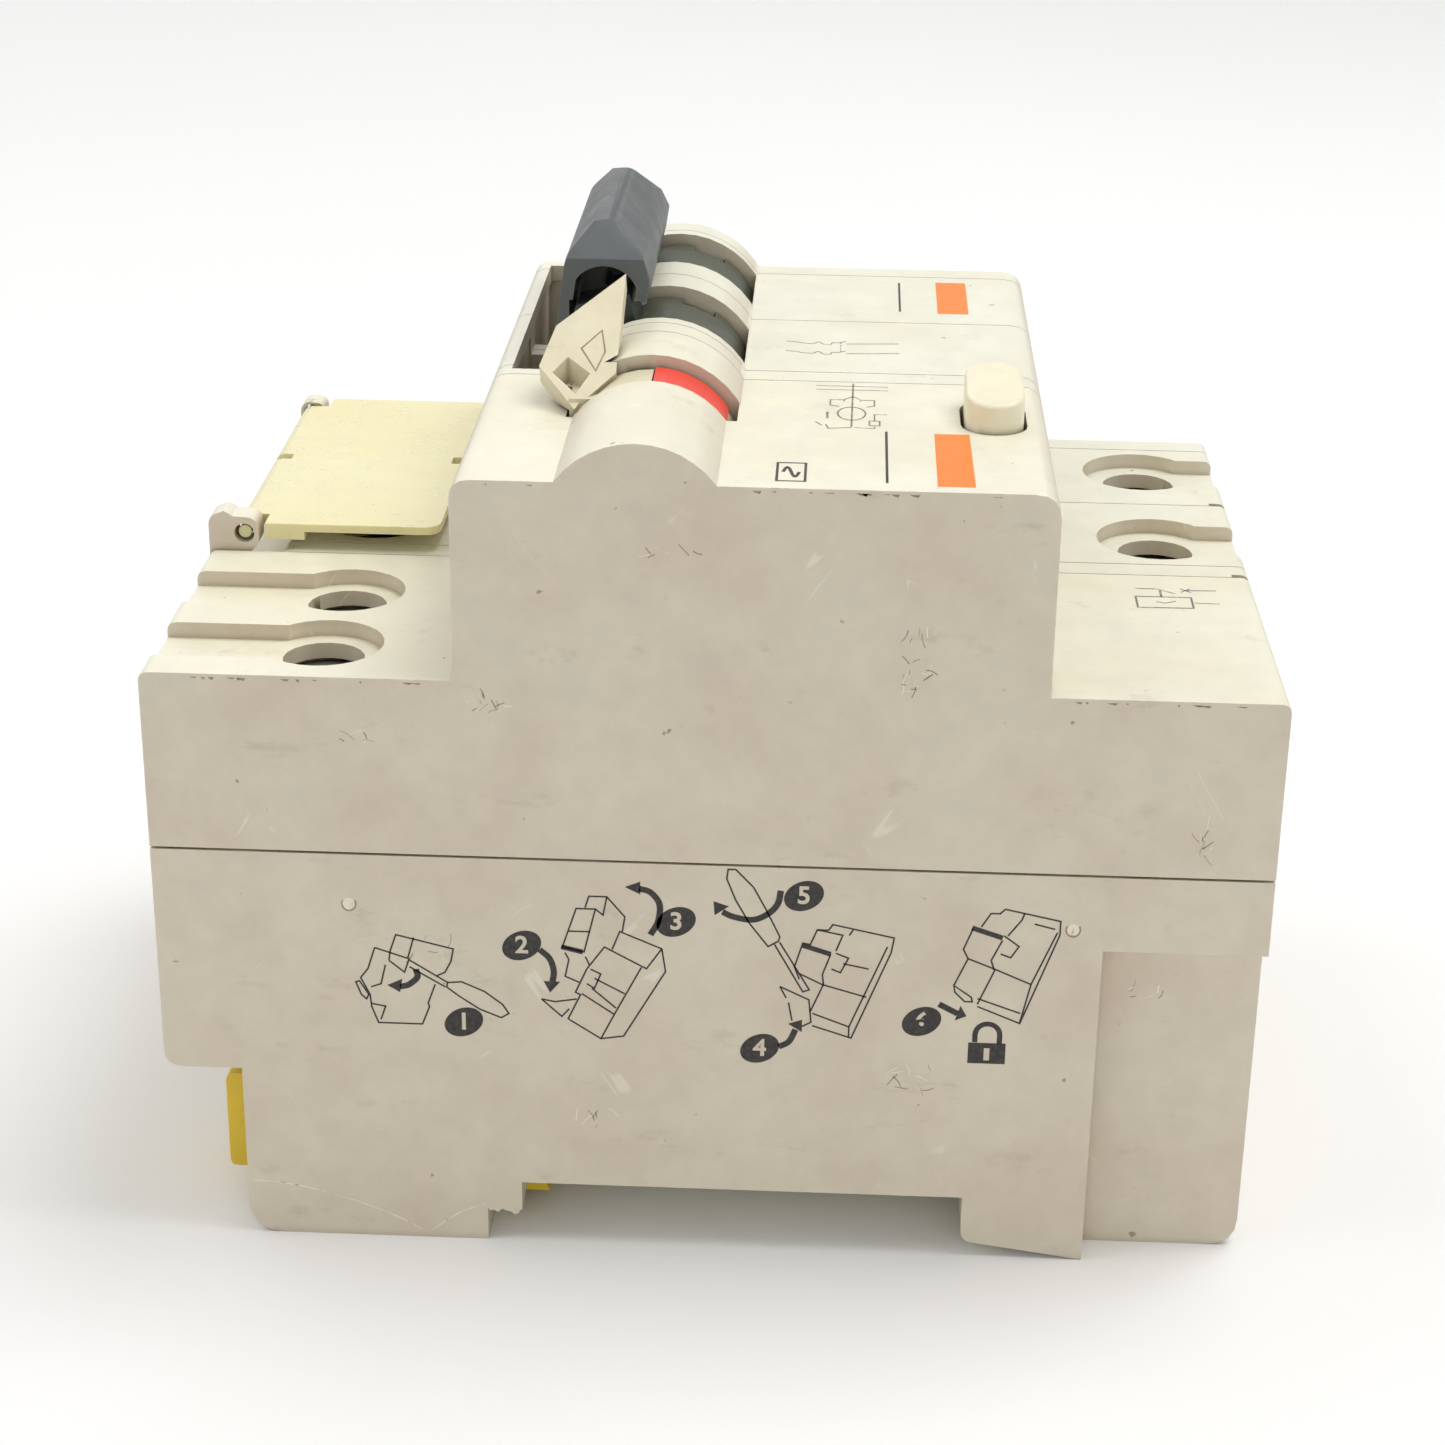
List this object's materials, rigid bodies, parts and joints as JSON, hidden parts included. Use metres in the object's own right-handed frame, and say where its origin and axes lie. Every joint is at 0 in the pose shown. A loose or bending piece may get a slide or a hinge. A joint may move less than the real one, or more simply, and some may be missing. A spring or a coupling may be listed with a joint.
{
  "type": "residual current device",
  "caption": "Two-pole circuit breaker with an add-on residual current block: tied toggle, reset lever, test button, terminal flap and rail clips.",
  "frame": {"origin": "under the middle of the whole device, at the level of the feet", "axes": "+X from the load terminals to the line terminals, +Y from the residual block's free side to the second pole, +Z from the rail to the front"},
  "size_m": [0.087, 0.063, 0.0765],
  "materials": {
    "block_cream": "satin, scuffed",
    "breaker_cream": "satin",
    "flap_aged": "yellowed, slightly glossy",
    "clip_yellow": "satin",
    "toggle_charcoal": "satin, worn edges",
    "drum_grey": "satin",
    "flag_red": "satin",
    "lever_cream": "satin, worn",
    "button_cream": "satin",
    "steel": "zinc plated",
    "copper": "dull",
    "board_green": "satin",
    "relay_black": "satin",
    "core_grey": "lacquered strip"
  },
  "bodies": {
    "housing": {"rcd_cover": "block_cream", "rcd_base": "block_cream", "test_spring": "steel", "test_contact": "copper", "test_resistor": "relay_black", "circuit_board": "board_green", "toroid_core": "core_grey", "toroid_winding": "copper", "trip_relay": "relay_black", "rcd_conductor_1": "copper", "rcd_conductor_2": "copper", "pole_1_case": "breaker_cream", "pole_1_side_cover": "breaker_cream", "pole_1_line_bar": "copper", "pole_1_load_bar": "copper", "pole_1_bimetal": "steel", "pole_1_arc_chute": "steel", "pole_1_coil": "copper", "pole_2_case": "breaker_cream", "pole_2_side_cover": "breaker_cream", "pole_2_line_bar": "copper", "pole_2_load_bar": "copper", "pole_2_bimetal": "steel", "pole_2_arc_chute": "steel", "pole_2_coil": "copper"},
    "flap": {"terminal_flap": "flap_aged"},
    "toggle": {"pole_1_toggle": "drum_grey", "pole_2_toggle": "drum_grey", "toggle_cap": "toggle_charcoal"},
    "lever": {"reset_lever": "lever_cream", "fault_flag": "flag_red"},
    "button": {"test_button": "button_cream"},
    "relay_pin": {"relay_plunger": "steel"},
    "rcd_clip": {"rcd_rail_clip": "clip_yellow"},
    "rcd_load_1_screw": {"rcd_screw_1": "steel"},
    "rcd_load_1_clamp": {"rcd_clamp_1": "steel"},
    "rcd_load_2_screw": {"rcd_screw_2": "steel"},
    "rcd_load_2_clamp": {"rcd_clamp_2": "steel"},
    "pole_1_line_screw": {"pole_1_line_screw": "steel"},
    "pole_1_line_clamp": {"pole_1_line_clamp": "steel"},
    "pole_1_load_screw": {"pole_1_load_screw": "steel"},
    "pole_1_load_clamp": {"pole_1_load_clamp": "steel"},
    "pole_1_clip": {"pole_1_rail_clip": "clip_yellow"},
    "pole_1_arm": {"pole_1_contact_arm": "copper"},
    "pole_1_striker": {"pole_1_plunger": "steel"},
    "pole_2_line_screw": {"pole_2_line_screw": "steel"},
    "pole_2_line_clamp": {"pole_2_line_clamp": "steel"},
    "pole_2_load_screw": {"pole_2_load_screw": "steel"},
    "pole_2_load_clamp": {"pole_2_load_clamp": "steel"},
    "pole_2_clip": {"pole_2_rail_clip": "clip_yellow"},
    "pole_2_arm": {"pole_2_contact_arm": "copper"},
    "pole_2_striker": {"pole_2_plunger": "steel"}
  },
  "joints": [
    {"name": "toggle_swing", "type": "hinge", "parent": "housing", "child": "toggle", "pos_m": [-0.00575, 0, 0.0612], "axis": [0, 1, 0], "range_deg": [0, 56]},
    {"name": "lever_swing", "type": "hinge", "parent": "housing", "child": "lever", "pos_m": [-0.00575, -0.0135, 0.0612], "axis": [0, 1, 0], "range_deg": [0, 56]},
    {"name": "flap_hinge", "type": "hinge", "parent": "housing", "child": "flap", "pos_m": [-0.0405, 0.0135, 0.051], "axis": [0, -1, 0], "range_deg": [0, 95]},
    {"name": "test_button_slide", "type": "slide", "parent": "housing", "child": "button", "axis": [0, 0, -1], "range_m": [0, 0.0018], "stiffness_N_per_m": 600, "deforming": ["test_spring"]},
    {"name": "relay_pin_slide", "type": "slide", "parent": "housing", "child": "relay_pin", "axis": [0, 0, 1], "range_m": [0, 0.0015], "stiffness_N_per_m": 200},
    {"name": "rcd_clip_slide", "type": "slide", "parent": "housing", "child": "rcd_clip", "axis": [-1, 0, 0], "range_m": [0, 0.0034], "stiffness_N_per_m": 800},
    {"name": "rcd_load_1_clamp_lift", "type": "slide", "parent": "housing", "child": "rcd_load_1_clamp", "axis": [0, 0, 1], "range_m": [0, 0.0039]},
    {"name": "rcd_load_1_screw_turn", "type": "hinge", "parent": "housing", "child": "rcd_load_1_screw", "pos_m": [-0.0305, -0.0245, 0.046], "axis": [0, 0, -1], "range_deg": [0, 1760]},
    {"name": "rcd_load_2_clamp_lift", "type": "slide", "parent": "housing", "child": "rcd_load_2_clamp", "axis": [0, 0, 1], "range_m": [0, 0.0039]},
    {"name": "rcd_load_2_screw_turn", "type": "hinge", "parent": "housing", "child": "rcd_load_2_screw", "pos_m": [-0.0305, -0.013, 0.046], "axis": [0, 0, -1], "range_deg": [0, 1760]},
    {"name": "pole_1_line_clamp_lift", "type": "slide", "parent": "housing", "child": "pole_1_line_clamp", "axis": [0, 0, 1], "range_m": [0, 0.0039]},
    {"name": "pole_1_line_screw_turn", "type": "hinge", "parent": "housing", "child": "pole_1_line_screw", "pos_m": [0.0365, 0.0045, 0.046], "axis": [0, 0, -1], "range_deg": [0, 1760]},
    {"name": "pole_1_load_clamp_lift", "type": "slide", "parent": "housing", "child": "pole_1_load_clamp", "axis": [0, 0, 1], "range_m": [0, 0.0039]},
    {"name": "pole_1_load_screw_turn", "type": "hinge", "parent": "housing", "child": "pole_1_load_screw", "pos_m": [-0.0305, 0.0045, 0.046], "axis": [0, 0, -1], "range_deg": [0, 1760]},
    {"name": "pole_1_clip_slide", "type": "slide", "parent": "housing", "child": "pole_1_clip", "axis": [-1, 0, 0], "range_m": [0, 0.0034], "stiffness_N_per_m": 800},
    {"name": "pole_1_arm_swing", "type": "hinge", "parent": "housing", "child": "pole_1_arm", "pos_m": [0.0005, 0.0045, 0.042], "axis": [0, 1, 0], "range_deg": [-18, 0]},
    {"name": "pole_1_striker_slide", "type": "slide", "parent": "housing", "child": "pole_1_striker", "axis": [1, 0, 0], "range_m": [0, 0.0025], "stiffness_N_per_m": 300},
    {"name": "pole_2_line_clamp_lift", "type": "slide", "parent": "housing", "child": "pole_2_line_clamp", "axis": [0, 0, 1], "range_m": [0, 0.0039]},
    {"name": "pole_2_line_screw_turn", "type": "hinge", "parent": "housing", "child": "pole_2_line_screw", "pos_m": [0.0365, 0.0225, 0.046], "axis": [0, 0, -1], "range_deg": [0, 1760]},
    {"name": "pole_2_load_clamp_lift", "type": "slide", "parent": "housing", "child": "pole_2_load_clamp", "axis": [0, 0, 1], "range_m": [0, 0.0039]},
    {"name": "pole_2_load_screw_turn", "type": "hinge", "parent": "housing", "child": "pole_2_load_screw", "pos_m": [-0.0305, 0.0225, 0.046], "axis": [0, 0, -1], "range_deg": [0, 1760]},
    {"name": "pole_2_clip_slide", "type": "slide", "parent": "housing", "child": "pole_2_clip", "axis": [-1, 0, 0], "range_m": [0, 0.0034], "stiffness_N_per_m": 800},
    {"name": "pole_2_arm_swing", "type": "hinge", "parent": "housing", "child": "pole_2_arm", "pos_m": [0.0005, 0.0225, 0.042], "axis": [0, 1, 0], "range_deg": [-18, 0]},
    {"name": "pole_2_striker_slide", "type": "slide", "parent": "housing", "child": "pole_2_striker", "axis": [1, 0, 0], "range_m": [0, 0.0025], "stiffness_N_per_m": 300}
  ],
  "couplings": [
    {"joint": "lever_swing", "follows": "toggle_swing", "ratio": 1},
    {"joint": "rcd_load_1_screw_turn", "follows": "rcd_load_1_clamp_lift", "rad_per_m": 7854},
    {"joint": "rcd_load_2_screw_turn", "follows": "rcd_load_2_clamp_lift", "rad_per_m": 7854},
    {"joint": "pole_1_line_screw_turn", "follows": "pole_1_line_clamp_lift", "rad_per_m": 7854},
    {"joint": "pole_1_load_screw_turn", "follows": "pole_1_load_clamp_lift", "rad_per_m": 7854},
    {"joint": "pole_1_arm_swing", "follows": "toggle_swing", "ratio": -0.32},
    {"joint": "pole_2_line_screw_turn", "follows": "pole_2_line_clamp_lift", "rad_per_m": 7854},
    {"joint": "pole_2_load_screw_turn", "follows": "pole_2_load_clamp_lift", "rad_per_m": 7854},
    {"joint": "pole_2_arm_swing", "follows": "toggle_swing", "ratio": -0.32}
  ]
}
